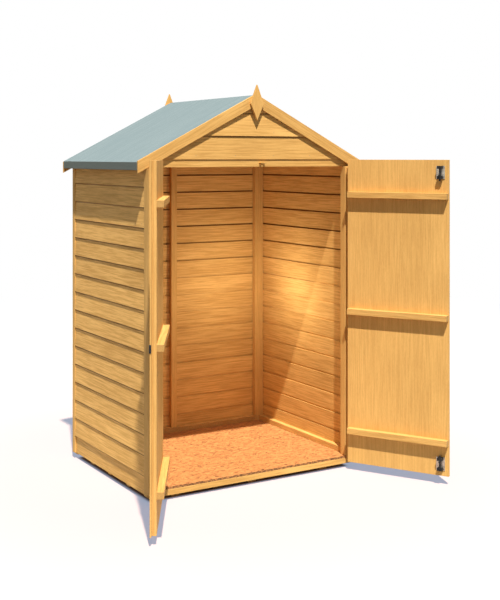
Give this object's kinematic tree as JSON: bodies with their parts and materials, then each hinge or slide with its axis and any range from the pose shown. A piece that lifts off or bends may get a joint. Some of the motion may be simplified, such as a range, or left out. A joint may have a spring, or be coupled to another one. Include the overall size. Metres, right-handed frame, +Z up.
{
  "type": "garden shed",
  "caption": "Small wooden garden shed with lapped board walls, an apex roof under mineral felt and double doors that stand open.",
  "frame": {"origin": "on the ground under the middle of the floor", "axes": "+X to the right seen from the doors, +Y from the doors to the back wall, +Z up"},
  "size_m": [1.6515, 1.4794, 1.978],
  "materials": {
    "timber": "sawn, honey-coloured dip",
    "strand_board": "pressed strands",
    "felt": "mineral grit on bitumen",
    "black_iron": "satin black",
    "zinc": "zinc plated"
  },
  "bodies": {
    "shed": {"floor_bearers": "timber", "floor_joists": "timber", "floor_sheet": "strand_board", "left_wall_boards": "timber", "right_wall_boards": "timber", "back_wall_boards": "timber", "front_gable_boards": "timber", "front_corner_trims": "timber", "back_corner_trims": "timber", "bottom_rails": "timber", "top_rails": "timber", "front_left_post": "timber", "front_right_post": "timber", "back_left_post": "timber", "back_right_post": "timber", "back_wall_stud": "timber", "front_header": "timber", "gable_rafters": "timber", "door_jambs": "timber", "ridge_beam": "timber", "left_roof_sheet": "strand_board", "right_roof_sheet": "strand_board", "eave_battens": "timber", "left_roof_felt": "felt", "right_roof_felt": "felt", "front_left_bargeboard": "timber", "front_right_bargeboard": "timber", "back_left_bargeboard": "timber", "back_right_bargeboard": "timber", "front_finial": "timber", "back_finial": "timber", "hinge_plates": "black_iron", "top_bolt_keep": "zinc"},
    "left_door": {"left_door_leaf": "timber", "left_door_ledges": "timber", "left_hinge_straps": "black_iron", "meeting_strip": "timber", "hasp": "black_iron"},
    "right_door": {"right_door_leaf": "timber", "right_door_ledges": "timber", "right_hinge_straps": "black_iron", "top_bolt_case": "zinc", "bottom_bolt_case": "zinc"},
    "top_bolt": {"top_bolt_rod": "black_iron"},
    "bottom_bolt": {"bottom_bolt_rod": "black_iron"}
  },
  "joints": [
    {"name": "left_door_hinge", "type": "hinge", "parent": "shed", "child": "left_door", "pos_m": [-0.549, -0.4856, 0.824], "axis": [0, 0, -1], "range_deg": [-119.5, 60.5]},
    {"name": "right_door_hinge", "type": "hinge", "parent": "shed", "child": "right_door", "pos_m": [0.549, -0.4856, 0.824], "axis": [0, 0, 1], "range_deg": [-119.5, 60.5]},
    {"name": "top_bolt_slide", "type": "slide", "parent": "right_door", "child": "top_bolt", "axis": [0, 0, 1], "range_m": [0, 0.02]},
    {"name": "bottom_bolt_slide", "type": "slide", "parent": "right_door", "child": "bottom_bolt", "axis": [0, 0, -1], "range_m": [0, 0.016]}
  ]
}
